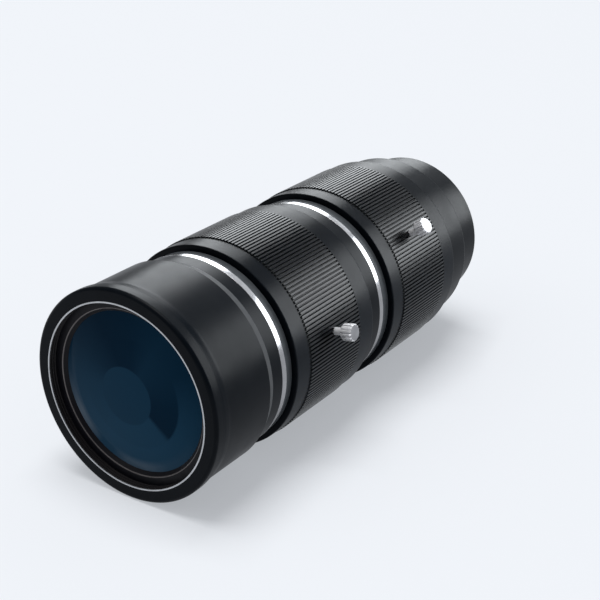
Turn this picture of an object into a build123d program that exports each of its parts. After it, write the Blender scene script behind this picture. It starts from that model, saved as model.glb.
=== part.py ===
from build123d import *
import math
import os

# Ultraviolet lens with a camera screw mount, in millimetres.
# The optical axis runs along Y, the front glass faces -Y and +Z is up.
# The origin is where the axis meets the camera flange plane.
# A station is a distance behind the front rim, so the flange is at station body_length.

# Clearances
ring_clearance = 0.2
seat_gap = 0.05
end_clearance = 0.25
screw_clearance = 0.1
pin_clearance = 0.12
cut_margin = 1.0

# Filter thread in the mouth, whose bore sets the width of the whole lens
filter_bore_radius = 22.6
filter_ring_wall = 0.35
filter_ring_length = 2.2

# Hood
hood_wall = 1.71
hood_length = 20.5
hood_chamfer = 0.1
rim_swell = 0.49
rim_round_radius = 0.9
rim_length = 3.0
rim_taper_length = 1.8
spigot_length = 5.5

# Front lens cell
cell_wall = 1.7
retainer_lap_width = 1.1
retainer_bevel_width = 0.9
retainer_thickness = 0.95
front_glass_thickness = 7.4
front_glass_curve_radius = 220.0
front_glass_rear_curve_radius = 260.0
inner_cell_wall = 4.0
cell_web_thickness = 2.0
cell_web_lap_width = 0.9
second_glass_thickness = 3.2
second_glass_front_curve_radius = -180.0
second_glass_rear_curve_radius = -75.0
third_glass_thickness = 5.6
third_glass_front_curve_radius = 62.0
third_glass_rear_curve_radius = 150.0
spacer_wall = 1.5
front_spacer_length = 1.6
cell_thread_length = 2.0
cell_retainer_length = 1.6
cell_retainer_wall = 1.8

# Front tube, which slides when the focus ring turns
tube_wall = 1.4
band_rise = 0.7
front_band_length = 6.25
band_slope_step = 0.15
band_slope_length = 2.4
accent_rise = 0.7
accent_width = 1.7
accent_depth = 1.25
collar_rise = 0.5
front_neck_length = 2.55
focus_travel_length = 7.0

# Grip rings
ring_wall = 1.76
ring_edge_chamfer = 0.35
knurl_rise = 0.3
knurl_depth = 0.55
knurl_pitch_length = 0.982
knurl_land_share = 0.42
focus_lip_length = 5.35
focus_knurl_length = 22.2
focus_tail_length = 6.2
iris_lip_length = 4.95
iris_knurl_length = 22.2
iris_tail_length = 5.8

# Fixed barrel between and under the rings
barrel_wall = 1.6
focus_bearing_length = 10.5
sleeve_wall = 1.4
middle_rise = 0.7
middle_front_length = 5.4
middle_rear_length = 3.0
barrel_thread_length = 5.0
barrel_thread_depth = 0.8
clip_width = 0.8
clip_inset_length = 3.5
clip_barrel_depth = 0.6
clip_ring_depth = 0.5
clip_opening_angle = 24.0
key_width = 3.0
key_length = 5.0
key_inset_length = 1.0
key_count = 2
key_angle = 250.0

# Rear housing
shoulder_rise = 1.5
shoulder_length = 1.9
housing_rise = 0.42
housing_step_length = 9.2
housing_taper_length = 2.6
rear_barrel_length = 12.5
rear_barrel_drop = 2.45
rear_edge_chamfer = 0.7
rear_wall = 2.0
rear_plate_thickness = 3.0

# Thumbscrews
thumbscrew_radius = 0.95
thumbscrew_neck_length = 2.45
thumbscrew_head_radius = 2.15
thumbscrew_head_length = 3.0
thumbscrew_head_chamfer = 0.3
thumbscrew_flute_count = 14
thumbscrew_flute_depth = 0.28
thumbscrew_land_share = 0.4
spot_face_radius = 1.6
spot_face_depth = 0.6
focus_screw_angle = 10.5
iris_screw_angle = 35.1

# Iris
iris_seat_inset_length = 5.6
iris_plate_thickness = 1.2
blade_count = 8
blade_thickness = 0.12
blade_layer_thickness = 0.3
blade_pivot_inset_length = 5.2
blade_width = 5.9
blade_edge_width = 0.8
blade_arc_angle = 104.0
blade_pin_radius = 0.5
blade_tab_radius = 1.25
blade_lever_length = 3.6
blade_lever_angle = 40.0
blade_turn_angle = 28.0
iris_turn_angle = 40.0
cam_step_count = 6
cam_nudge_share = 0.001
cam_ring_thickness = 2.0
cam_ring_width = 10.0
cover_thickness = 1.4
drive_pin_radius = 0.8
drive_pin_inner_depth = 2.4
drive_pin_outer_depth = 1.05
drive_pin_angle = 250.0

# Rear lens cell
rear_glass_inset_length = 8.4
rear_cell_wall = 1.9
rear_cell_inset_length = 5.0
rear_cell_lip_length = 1.5
rear_cell_lap_width = 1.4
rear_cell_flange_thickness = 2.0
fourth_glass_thickness = 4.2
fourth_glass_front_curve_radius = -48.0
fourth_glass_rear_curve_radius = 70.0
fifth_glass_thickness = 4.6
fifth_glass_front_curve_radius = 52.0
fifth_glass_rear_curve_radius = 120.0
rear_spacer_length = 2.8
rear_retainer_length = 1.6
rear_retainer_wall = 1.5

# Camera mount
mount_thread_radius = 12.7
mount_thread_length = 4.0
mount_thread_chamfer = 0.4
mount_thread_wall = 2.3
mount_boss_rise = 1.3
mount_flange_rise = 4.3
mount_flange_thickness = 2.0
mount_screw_count = 4
mount_screw_rise = 2.5
mount_screw_radius = 0.8
mount_screw_head_radius = 1.45
mount_screw_head_depth = 0.8
mount_screw_length = 2.6

# Stations worked out from the lengths above
hood_end = hood_length
front_accent_start = hood_end + front_band_length
front_accent_end = front_accent_start + accent_width
focus_start = front_accent_end + front_neck_length
focus_knurl_start = focus_start + focus_lip_length
focus_knurl_end = focus_knurl_start + focus_knurl_length
focus_end = focus_knurl_end + focus_tail_length
middle_start = focus_end + end_clearance
rear_accent_start = focus_end + middle_front_length
rear_accent_end = rear_accent_start + accent_width
iris_start = rear_accent_end + middle_rear_length
middle_end = iris_start - end_clearance
iris_knurl_start = iris_start + iris_lip_length
iris_knurl_end = iris_knurl_start + iris_knurl_length
iris_end = iris_knurl_end + iris_tail_length
housing_start = iris_end + end_clearance
housing_step_end = iris_end + housing_step_length
body_length = housing_step_end + rear_barrel_length
bearing_start = focus_end - focus_bearing_length
tube_end = bearing_start - end_clearance
sleeve_start = bearing_start - focus_travel_length - key_length
barrel_end = housing_start + barrel_thread_length

# Radii worked outwards from the filter bore
hood_bore_radius = filter_bore_radius + filter_ring_wall + seat_gap
tube_bore_radius = filter_bore_radius
tube_radius = tube_bore_radius + tube_wall
spigot_radius = tube_radius - seat_gap
hood_radius = tube_radius + hood_wall
rim_radius = hood_radius + rim_swell
band_radius = tube_radius + band_rise
accent_radius = tube_radius + accent_rise
collar_radius = tube_radius + collar_rise
middle_band_radius = tube_radius + middle_rise
ring_bore_radius = tube_radius + ring_clearance
ring_radius = ring_bore_radius + ring_wall
knurl_radius = ring_radius + knurl_rise
knurl_count = round(2 * math.pi * knurl_radius / knurl_pitch_length)
housing_step_radius = tube_radius + housing_rise
shoulder_radius = tube_radius + shoulder_rise
rear_radius = tube_radius - rear_barrel_drop

# Radii worked inwards from the tube
cell_radius = tube_bore_radius - seat_gap
front_glass_radius = cell_radius - cell_wall - seat_gap
glass_clear_radius = front_glass_radius - retainer_lap_width
retainer_face_radius = glass_clear_radius + retainer_bevel_width
inner_glass_radius = cell_radius - inner_cell_wall - seat_gap
cell_web_radius = inner_glass_radius - cell_web_lap_width
sleeve_radius = tube_bore_radius - ring_clearance
sleeve_bore_radius = sleeve_radius - sleeve_wall
barrel_bore_radius = tube_radius - barrel_wall
barrel_thread_radius = tube_radius - barrel_thread_depth
blade_pivot_radius = barrel_bore_radius - blade_pivot_inset_length
blade_outer_radius = blade_pivot_radius - blade_edge_width
iris_open_radius = blade_outer_radius - blade_width
cam_ring_radius = barrel_bore_radius - ring_clearance
cam_ring_bore_radius = cam_ring_radius - cam_ring_width
rear_glass_radius = barrel_bore_radius - rear_glass_inset_length
rear_cell_lip_radius = rear_glass_radius - rear_cell_lap_width
mount_bore_radius = mount_thread_radius - mount_thread_wall
mount_boss_radius = mount_thread_radius + mount_boss_rise
mount_flange_radius = mount_thread_radius + mount_flange_rise
mount_screw_circle_radius = mount_thread_radius + mount_screw_rise

# Primitives stand on their base point
standing = (Align.CENTER, Align.CENTER, Align.MIN)


def along(station):
    """Y coordinate of a station."""
    return station - body_length


def point(radius, station):
    """A point of a turned piece's outline, in the half plane that is spun round the axis."""
    return Vector(radius, along(station), 0)


def runs(*stops):
    """Straight edges through the given (radius, station) stops."""
    corners = [point(*stop) for stop in stops]
    return [Line(a, b) for a, b in zip(corners, corners[1:])]


def soft_step(start, end):
    """Two tangent arcs that leave and reach their ends parallel to the axis."""
    first, last = point(*start), point(*end)
    middle = (first + last) * 0.5
    toward = Vector(0, math.copysign(1, end[1] - start[1]), 0)
    return [TangentArc(first, middle, tangent=toward), TangentArc(last, middle, tangent=-toward)]


def spin(edges):
    """Solid of revolution of a closed outline about the optical axis."""
    return revolve(Face(Wire(edges)), Axis.Y)


def turned(*stops):
    """Solid of revolution of a closed outline with straight sides."""
    return spin(runs(*stops, stops[0]))


def ring(outer, inner, start, end):
    """Plain tube between two stations."""
    return turned((inner, start), (outer, start), (outer, end), (inner, end))


def disc(radius, start, end):
    """Plain cylinder on the optical axis between two stations."""
    return turned((0, start), (radius, start), (radius, end), (0, end))


def around(radius, angle, station):
    """Point at an angle round the axis, measured from +X towards +Z."""
    turn = math.radians(angle)
    return Vector(radius * math.cos(turn), along(station), radius * math.sin(turn))


def radial_plane(angle, station, radius):
    """Plane square to a radius, whose normal points outwards."""
    outward = around(1, angle, body_length)
    return Plane(origin=around(radius, angle, station), x_dir=(0, 1, 0), z_dir=outward)


def radial_pin(pin_radius, angle, station, low, high):
    """Cylinder that runs outwards along a radius."""
    base = radial_plane(angle, station, low)
    return base * Cylinder(pin_radius, high - low, align=standing)


def axial_pin(pin_radius, radius, angle, start, end):
    """Cylinder parallel to the axis between two stations."""
    base = Plane(origin=around(radius, angle, start), x_dir=(1, 0, 0), z_dir=(0, 1, 0))
    return base * Cylinder(pin_radius, end - start, align=standing)


def polygon(corners):
    """Flat face with straight sides."""
    return Face(Wire.make_polygon(corners, close=True))


def toothed_prism(tip, root, count, land, start, end):
    """Prism with a straight rib for each tooth, whose land is a share of the pitch."""
    corners = []
    for tooth in range(count):
        for share, radius in ((0, root), ((1 - land) / 2, tip), ((1 + land) / 2, tip)):
            corners.append(around(radius, 360 * (tooth + share) / count, start))
    return extrude(polygon(corners), amount=end - start, dir=(0, 1, 0))


def sag(curve, radius):
    """Depth of a spherical face at a radius, positive where the face bulges outwards."""
    depth = abs(curve) - math.sqrt(curve ** 2 - radius ** 2)
    return math.copysign(depth, curve)


def front_face(glass, radius):
    """Station of a lens element's front face at a radius."""
    return glass["vertex"] + sag(glass["front"], radius)


def rear_face(glass, radius):
    """Station of a lens element's rear face at a radius."""
    return glass["vertex"] + glass["thickness"] - sag(glass["rear"], radius)


def lens_element(glass):
    """Lens element with two spherical faces and a ground edge."""
    edge = glass["radius"]
    middle = edge / 2
    front = [point(radius, front_face(glass, radius)) for radius in (0, middle, edge)]
    rear = [point(radius, rear_face(glass, radius)) for radius in (edge, middle, 0)]
    return spin([
        ThreePointArc(*front),
        Line(front[2], rear[0]),
        ThreePointArc(*rear),
        Line(rear[2], front[0]),
    ])


def element(vertex, thickness, radius, front, rear):
    """Sizes of a lens element."""
    return {"vertex": vertex, "thickness": thickness, "radius": radius, "front": front, "rear": rear}


# Optical stack: each element rests on the seat, spacer or retainer in front of it
retainer_start = filter_ring_length + seat_gap
retainer_end = retainer_start + retainer_thickness
front_glass = element(
    retainer_end + seat_gap - sag(front_glass_curve_radius, glass_clear_radius),
    front_glass_thickness,
    front_glass_radius,
    front_glass_curve_radius,
    front_glass_rear_curve_radius,
)
web_start = rear_face(front_glass, cell_web_radius) + seat_gap
web_end = web_start + cell_web_thickness
second_glass = element(
    web_end + seat_gap - sag(second_glass_front_curve_radius, inner_glass_radius),
    second_glass_thickness,
    inner_glass_radius,
    second_glass_front_curve_radius,
    second_glass_rear_curve_radius,
)
spacer_bore = inner_glass_radius - spacer_wall
spacer_start = rear_face(second_glass, inner_glass_radius) + seat_gap
spacer_end = spacer_start + front_spacer_length
third_glass = element(
    spacer_end + seat_gap - sag(third_glass_front_curve_radius, spacer_bore),
    third_glass_thickness,
    inner_glass_radius,
    third_glass_front_curve_radius,
    third_glass_rear_curve_radius,
)
cell_retainer_bore = inner_glass_radius - cell_retainer_wall
cell_retainer_start = rear_face(third_glass, cell_retainer_bore) + seat_gap
cell_retainer_end = cell_retainer_start + cell_retainer_length
cell_end = cell_retainer_end + cell_thread_length

# Iris stack, from the seat in the barrel towards the camera
iris_seat = iris_start + iris_seat_inset_length
iris_plate_end = iris_seat + iris_plate_thickness
blades_start = iris_plate_end + blade_layer_thickness / 2
cam_ring_start = blades_start + blade_count * blade_layer_thickness
cam_ring_end = cam_ring_start + cam_ring_thickness
cover_start = cam_ring_end + end_clearance
cover_end = cover_start + cover_thickness
drive_pin_station = (cam_ring_start + cam_ring_end) / 2
blade_step = 360 / blade_count

# Rear stack, in a cell that hangs from the barrel's rear end
rear_cell_start = cover_end + rear_cell_inset_length
rear_seat = rear_cell_start + rear_cell_lip_length
rear_glass_bore = rear_glass_radius + seat_gap
rear_cell_radius = rear_glass_bore + rear_cell_wall
fourth_glass = element(
    rear_seat + seat_gap - sag(fourth_glass_front_curve_radius, rear_glass_radius),
    fourth_glass_thickness,
    rear_glass_radius,
    fourth_glass_front_curve_radius,
    fourth_glass_rear_curve_radius,
)
rear_spacer_bore = rear_glass_radius - spacer_wall
rear_spacer_start = rear_face(fourth_glass, rear_spacer_bore) + seat_gap
rear_spacer_end = rear_spacer_start + rear_spacer_length
fifth_glass = element(
    rear_spacer_end + seat_gap - sag(fifth_glass_front_curve_radius, rear_spacer_bore),
    fifth_glass_thickness,
    rear_glass_radius,
    fifth_glass_front_curve_radius,
    fifth_glass_rear_curve_radius,
)
rear_retainer_bore = rear_glass_radius - rear_retainer_wall
rear_retainer_start = rear_face(fifth_glass, rear_retainer_bore) + seat_gap
rear_retainer_end = rear_retainer_start + rear_retainer_length
rear_cell_end = max(barrel_end, rear_retainer_end) + rear_cell_flange_thickness


def make_front_hood():
    """Hood shell with the rounded rim, its filter bore and the socket for the front tube."""
    taper_end = rim_length + rim_taper_length
    bend = rim_round_radius * (1 - math.sqrt(0.5))
    face_radius = rim_radius - rim_round_radius
    lip = [point(face_radius, 0), point(rim_radius - bend, bend), point(rim_radius, rim_round_radius)]
    outline = runs((hood_bore_radius, 0), (face_radius, 0))
    outline.append(ThreePointArc(*lip))
    outline += runs((rim_radius, rim_round_radius), (rim_radius, rim_length))
    outline += soft_step((rim_radius, rim_length), (hood_radius, taper_end))
    outline += runs(
        (hood_radius, taper_end),
        (hood_radius, hood_end - hood_chamfer),
        (hood_radius - hood_chamfer, hood_end),
        (spigot_radius + seat_gap, hood_end),
        (spigot_radius + seat_gap, hood_end - spigot_length),
        (hood_bore_radius, hood_end - spigot_length),
        (hood_bore_radius, 0),
    )
    return spin(outline)


def make_filter_thread_ring():
    """Bare metal ring that carries the filter thread."""
    return ring(filter_bore_radius + filter_ring_wall, filter_bore_radius, 0, filter_ring_length)


def make_front_retaining_ring():
    """Ring with a bevelled mouth that holds the front element."""
    outer = hood_bore_radius - seat_gap
    return turned(
        (retainer_face_radius, retainer_start),
        (outer, retainer_start),
        (outer, retainer_end),
        (glass_clear_radius, retainer_end),
    )


def make_front_cell():
    """Cell whose web parts the front element from the two inner ones."""
    start = retainer_end + seat_gap
    front_bore = front_glass_radius + seat_gap
    rear_bore = inner_glass_radius + seat_gap
    return turned(
        (front_bore, start),
        (cell_radius, start),
        (cell_radius, cell_end),
        (rear_bore, cell_end),
        (rear_bore, web_end),
        (cell_web_radius, web_end),
        (cell_web_radius, web_start),
        (front_bore, web_start),
    )


def make_cell_retaining_ring():
    """Ring that holds the inner elements in the front cell."""
    return ring(inner_glass_radius, cell_retainer_bore, cell_retainer_start, cell_retainer_end)


def make_front_tube():
    """Sliding tube with its spigot, the band that slopes down from the hood and the front accent ring's groove."""
    groove = accent_radius - accent_depth
    spigot_start = hood_end - spigot_length + seat_gap
    tube = turned(
        (tube_bore_radius, spigot_start),
        (spigot_radius, spigot_start),
        (spigot_radius, hood_end),
        (hood_radius - band_slope_step, hood_end),
        (band_radius, hood_end + band_slope_length),
        (band_radius, front_accent_start),
        (groove, front_accent_start),
        (groove, front_accent_end),
        (collar_radius, front_accent_end),
        (collar_radius, focus_start - end_clearance),
        (tube_radius, focus_start - end_clearance),
        (tube_radius, tube_end),
        (tube_bore_radius, tube_end),
    )
    for pocket in key_boxes():
        tube -= pocket
    return tube


def make_accent_ring(start):
    """Bright metal trim ring that sits in its groove."""
    end = start + accent_width
    return ring(accent_radius, accent_radius - accent_depth + seat_gap, start, end)


def key_boxes():
    """Blocks where the guide keys lie."""
    rear = tube_end - key_inset_length
    low = sleeve_bore_radius + seat_gap
    high = tube_radius - tube_wall / 2
    boxes = []
    for turn in range(key_count):
        base = radial_plane(key_angle + 360 * turn / key_count, rear - key_length / 2, low)
        boxes.append(base * Box(key_length, key_width, high - low, align=standing))
    return boxes


def make_guide_keys():
    """Keys on the front tube that keep it from turning."""
    return Compound(children=key_boxes())


def make_knurled_ring(start, knurl_start, knurl_end, end, screw_angle):
    """Grip ring with smooth ends, a band of straight ribs and a threaded hole for its thumbscrew."""
    edge = ring_radius - ring_edge_chamfer
    root = knurl_radius - knurl_depth
    clear = knurl_radius + cut_margin
    station = (knurl_start + knurl_end) / 2
    body = turned(
        (0, start),
        (edge, start),
        (ring_radius, start + ring_edge_chamfer),
        (ring_radius, knurl_start),
        (0, knurl_start),
    )
    body += toothed_prism(knurl_radius, root, knurl_count, knurl_land_share, knurl_start, knurl_end)
    body += turned(
        (0, knurl_end),
        (ring_radius, knurl_end),
        (ring_radius, end - ring_edge_chamfer),
        (edge, end),
        (0, end),
    )
    body -= disc(ring_bore_radius, start - cut_margin, end + cut_margin)
    body -= radial_pin(thumbscrew_radius + screw_clearance, screw_angle, station, tube_radius, clear)
    body -= radial_pin(spot_face_radius, screw_angle, station, knurl_radius - spot_face_depth, clear)
    return body


def clip_stations():
    """Stations of the clip groove that keeps the focus ring on its bearing."""
    rear = focus_end - clip_inset_length
    return rear - clip_width, rear


def make_focus_ring():
    """Focus ring with the groove for its clip."""
    body = make_knurled_ring(focus_start, focus_knurl_start, focus_knurl_end, focus_end, focus_screw_angle)
    front, rear = clip_stations()
    room = end_clearance
    return body - ring(ring_bore_radius + clip_ring_depth, tube_radius, front - room, rear + room)


def make_iris_ring():
    """Iris ring with the hole for its drive pin."""
    body = make_knurled_ring(iris_start, iris_knurl_start, iris_knurl_end, iris_end, iris_screw_angle)
    return body - drive_pin_hole(tube_radius, drive_pin_top())


def drive_pin_hole(low, high):
    """Radial hole in which the iris drive pin is seated."""
    return radial_pin(drive_pin_radius + seat_gap, drive_pin_angle, drive_pin_station, low, high)


def make_focus_clip():
    """Split clip that lies in the barrel's groove and reaches into the focus ring's."""
    front, rear = clip_stations()
    inner = tube_radius - clip_barrel_depth + seat_gap
    outer = ring_bore_radius + clip_ring_depth - ring_clearance
    clip = ring(outer, inner, front + seat_gap, rear - seat_gap)
    half = clip_opening_angle / 2
    corners = [around(0, 0, front), around(2 * outer, -half, front), around(2 * outer, half, front)]
    return clip - extrude(polygon(corners), amount=clip_width, dir=(0, 1, 0))


def make_thumbscrew(angle, station):
    """Lock screw with a fluted head, standing on a grip ring."""
    tip = ring_bore_radius + seat_gap
    neck_end = knurl_radius + thumbscrew_neck_length
    top = neck_end + thumbscrew_head_length
    end_face = thumbscrew_head_radius - thumbscrew_head_chamfer
    root = thumbscrew_head_radius - thumbscrew_flute_depth
    valley = (1 - thumbscrew_land_share) / 2
    flute = ((0, root), (valley, thumbscrew_head_radius), (1 - valley, thumbscrew_head_radius))
    corners = []
    for number in range(thumbscrew_flute_count):
        for share, radius in flute:
            turn = 2 * math.pi * (number + share) / thumbscrew_flute_count
            corners.append(Vector(radius * math.cos(turn), radius * math.sin(turn), neck_end))
    head = extrude(polygon(corners), amount=thumbscrew_head_length, dir=(0, 0, 1))
    blank = [
        (0, neck_end),
        (end_face, neck_end),
        (thumbscrew_head_radius, neck_end + thumbscrew_head_chamfer),
        (thumbscrew_head_radius, top - thumbscrew_head_chamfer),
        (end_face, top),
        (0, top),
    ]
    head = head & revolve(polygon([Vector(radius, 0, height) for radius, height in blank]), Axis.Z)
    shank_end = neck_end + thumbscrew_head_length / 2
    shank = Pos(0, 0, tip) * Cylinder(thumbscrew_radius, shank_end - tip, align=standing)
    return radial_plane(angle, station, 0) * (head + shank)


def make_main_barrel():
    """Fixed barrel: guide sleeve, focus bearing, middle band, iris seat and rear thread."""
    groove = accent_radius - accent_depth
    clip_front, clip_rear = clip_stations()
    clip_floor = tube_radius - clip_barrel_depth
    outline = runs(
        (sleeve_bore_radius, sleeve_start),
        (sleeve_radius, sleeve_start),
        (sleeve_radius, bearing_start),
        (tube_radius, bearing_start),
        (tube_radius, clip_front),
        (clip_floor, clip_front),
        (clip_floor, clip_rear),
        (tube_radius, clip_rear),
        (tube_radius, middle_start),
        (middle_band_radius, middle_start),
        (middle_band_radius, rear_accent_start),
        (groove, rear_accent_start),
        (groove, rear_accent_end),
        (collar_radius, rear_accent_end),
        (collar_radius, middle_end),
        (tube_radius, middle_end),
        (tube_radius, housing_start),
        (barrel_thread_radius, housing_start),
        (barrel_thread_radius, barrel_end),
        (barrel_bore_radius, barrel_end),
        (barrel_bore_radius, iris_seat),
        (sleeve_bore_radius, iris_seat),
        (sleeve_bore_radius, sleeve_start),
    )
    barrel = spin(outline)
    slot_front = sleeve_start - cut_margin
    slot_rear = tube_end - key_inset_length + screw_clearance
    low = sleeve_bore_radius - cut_margin
    high = sleeve_radius + cut_margin
    slot = Box(slot_rear - slot_front, key_width + 2 * ring_clearance, high - low, align=standing)
    for turn in range(key_count):
        barrel -= radial_plane(key_angle + 360 * turn / key_count, (slot_front + slot_rear) / 2, low) * slot
    return barrel - drive_slot()


def drive_slot():
    """Arc slot through the barrel in which the iris drive pin travels."""
    half_width = drive_pin_radius + ring_clearance
    low = barrel_bore_radius - cut_margin
    high = tube_radius + cut_margin
    start = drive_pin_station - half_width
    end = drive_pin_station + half_width
    last_angle = drive_pin_angle + iris_turn_angle
    corners = [
        around(0, 0, start),
        around(2 * high, drive_pin_angle, start),
        around(2 * high, last_angle, start),
    ]
    sector = extrude(polygon(corners), amount=end - start, dir=(0, 1, 0))
    slot = ring(high, low, start, end) & sector
    for angle in (drive_pin_angle, last_angle):
        slot += radial_pin(half_width, angle, drive_pin_station, low, high)
    return slot


def drive_pin_top():
    """Radius at which the drive pin ends inside the iris ring."""
    return ring_bore_radius + drive_pin_outer_depth


def make_iris_drive_pin():
    """Pin that joins the iris ring to the cam ring through the barrel's slot."""
    low = cam_ring_radius - drive_pin_inner_depth + seat_gap
    return radial_pin(drive_pin_radius, drive_pin_angle, drive_pin_station, low, drive_pin_top() - seat_gap)


def make_iris_base_plate():
    """Fixed plate with a pivot hole for each blade."""
    plate = ring(barrel_bore_radius - seat_gap, iris_open_radius, iris_seat, iris_plate_end)
    hole = blade_pin_radius + pin_clearance
    front = iris_seat - cut_margin
    rear = iris_plate_end + cut_margin
    for blade in range(blade_count):
        plate -= axial_pin(hole, blade_pivot_radius, blade * blade_step, front, rear)
    return plate


def flat(x, y):
    """Point of a flat piece, where x is +X and y is +Z."""
    return Vector(x, y, 0)


def cam_pin_place(turn):
    """Place of the first blade's cam pin after the blade has turned by an angle."""
    angle = math.radians(blade_lever_angle + turn)
    return blade_pivot_radius + blade_lever_length * math.cos(angle), blade_lever_length * math.sin(angle)


def cam_path(share):
    """Place of the first blade's cam pin seen from the turning cam ring, for a share of the full turn."""
    x, y = cam_pin_place(share * blade_turn_angle)
    turn = -math.radians(share * iris_turn_angle)
    return x * math.cos(turn) - y * math.sin(turn), x * math.sin(turn) + y * math.cos(turn)


def cam_slot_face():
    """Outline of a cam slot: the pin's path, widened by the pin and its clearance."""
    half_width = blade_pin_radius + pin_clearance
    places = []
    offsets = []
    for step in range(cam_step_count + 1):
        place = flat(*cam_path(step / cam_step_count))
        ahead = flat(*cam_path(step / cam_step_count + cam_nudge_share))
        places.append(place)
        offsets.append((ahead - place).normalized() * half_width)
    left = [place + offset.rotate(Axis.Z, 90) for place, offset in zip(places, offsets)]
    right = [place - offset.rotate(Axis.Z, 90) for place, offset in zip(places, offsets)]
    edges = [
        Spline(*left),
        ThreePointArc(left[-1], places[-1] + offsets[-1], right[-1]),
        Spline(*reversed(right)),
        ThreePointArc(right[0], places[0] - offsets[0], left[0]),
    ]
    return Face(Wire(edges))


def stand(shape, station):
    """Put a flat piece's solid at a station: its z runs towards the front."""
    return Plane.XZ.offset(-along(station)) * shape


def make_iris_cam_ring():
    """Turning ring with a cam slot for each blade."""
    cam_ring = ring(cam_ring_radius, cam_ring_bore_radius, cam_ring_start, cam_ring_end)
    slot = extrude(cam_slot_face(), amount=cam_ring_thickness + 2 * cut_margin, dir=(0, 0, 1))
    for blade in range(blade_count):
        cam_ring -= stand(Rot(0, 0, blade * blade_step) * slot, cam_ring_end + cut_margin)
    return cam_ring - drive_pin_hole(cam_ring_radius - drive_pin_inner_depth, tube_radius)


def make_iris_cover_ring():
    """Fixed ring that keeps the cam ring in its seat."""
    return ring(barrel_bore_radius - seat_gap, cam_ring_bore_radius, cover_start, cover_end)


def arc_points(radius, low, high):
    """Start, middle and end of an arc about the axis."""
    angles = [math.radians(angle) for angle in (low, (low + high) / 2, high)]
    return [flat(radius * math.cos(angle), radius * math.sin(angle)) for angle in angles]


def blade_face():
    """Outline of the first blade when the iris is open: an arc strip with rounded ends and a lever tab."""
    mean = (iris_open_radius + blade_outer_radius) / 2
    outer = arc_points(blade_outer_radius, 0, blade_arc_angle)
    inner = arc_points(iris_open_radius, blade_arc_angle, 0)
    across = (outer[2] - inner[0]).normalized() * (blade_width / 2)
    far_cap = arc_points(mean, 0, blade_arc_angle)[2] + across.rotate(Axis.Z, 90)
    strip = Face(Wire([
        ThreePointArc(*outer),
        ThreePointArc(outer[2], far_cap, inner[0]),
        ThreePointArc(*inner),
        Line(inner[2], outer[0]),
    ]))
    root_cap = Pos(mean, 0) * Circle(blade_width / 2)
    pivot = Pos(blade_pivot_radius, 0) * Circle(blade_tab_radius)
    lever_x, lever_y = cam_pin_place(0)
    lever = Pos(lever_x, lever_y) * Circle(blade_tab_radius)
    arm = Rot(0, 0, blade_lever_angle) * Rectangle(blade_lever_length, 2 * blade_tab_radius)
    arm = Pos((blade_pivot_radius + lever_x) / 2, lever_y / 2) * arm
    return strip + root_cap + pivot + lever + arm


def make_iris_blade(number):
    """One blade in its own layer, with a pivot pin to the front and a cam pin to the rear."""
    layer_middle = blades_start + (number + 0.5) * blade_layer_thickness
    sheet_start = layer_middle - blade_thickness / 2
    sheet_end = sheet_start + blade_thickness
    turn = number * blade_step
    sheet = stand(Rot(0, 0, turn) * extrude(blade_face(), amount=blade_thickness), sheet_end)
    lever_x, lever_y = cam_pin_place(0)
    lever_radius = math.hypot(lever_x, lever_y)
    lever_angle = turn + math.degrees(math.atan2(lever_y, lever_x))
    pivot_pin = axial_pin(blade_pin_radius, blade_pivot_radius, turn, iris_seat + seat_gap, sheet_start)
    cam_pin = axial_pin(blade_pin_radius, lever_radius, lever_angle, sheet_end, cam_ring_end - seat_gap)
    return sheet + pivot_pin + cam_pin


def make_rear_cell():
    """Cell for the two rear elements, with the flange that hangs from the barrel's rear end."""
    flange_start = rear_cell_end - rear_cell_flange_thickness
    return turned(
        (rear_cell_lip_radius, rear_cell_start),
        (rear_cell_radius, rear_cell_start),
        (rear_cell_radius, flange_start),
        (barrel_thread_radius, flange_start),
        (barrel_thread_radius, rear_cell_end),
        (rear_glass_bore, rear_cell_end),
        (rear_glass_bore, rear_seat),
        (rear_cell_lip_radius, rear_seat),
    )


def make_rear_retaining_ring():
    """Ring that holds the two elements in the rear cell."""
    return ring(rear_glass_radius, rear_retainer_bore, rear_retainer_start, rear_retainer_end)


def make_rear_housing():
    """Stepped rear shell that clamps the rear cell and carries the camera mount."""
    pocket = barrel_thread_radius + seat_gap
    inner = rear_radius - rear_wall
    taper_end = housing_step_end + housing_taper_length
    shoulder_end = housing_start + shoulder_length
    plate_start = body_length - rear_plate_thickness
    flange_start = body_length - mount_flange_thickness
    outline = runs((pocket, housing_start), (shoulder_radius, housing_start))
    outline += soft_step((shoulder_radius, housing_start), (housing_step_radius, shoulder_end))
    outline += runs((housing_step_radius, shoulder_end), (housing_step_radius, housing_step_end))
    outline += soft_step((housing_step_radius, housing_step_end), (rear_radius, taper_end))
    outline += runs(
        (rear_radius, taper_end),
        (rear_radius, body_length - rear_edge_chamfer),
        (rear_radius - rear_edge_chamfer, body_length),
        (mount_flange_radius + seat_gap, body_length),
        (mount_flange_radius + seat_gap, flange_start),
        (mount_boss_radius + seat_gap, flange_start),
        (mount_boss_radius + seat_gap, plate_start),
        (inner, plate_start),
        (inner, rear_cell_end),
        (pocket, rear_cell_end),
        (pocket, housing_start),
    )
    housing = spin(outline)
    hole = mount_screw_radius + seat_gap
    for angle in mount_screw_angles():
        housing -= axial_pin(hole, mount_screw_circle_radius, angle, plate_start - cut_margin, body_length)
    return housing


def mount_screw_angles():
    """Angles of the mount screws, clear of the horizontal and the vertical."""
    step = 360 / mount_screw_count
    return [step / 2 + step * turn for turn in range(mount_screw_count)]


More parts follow.
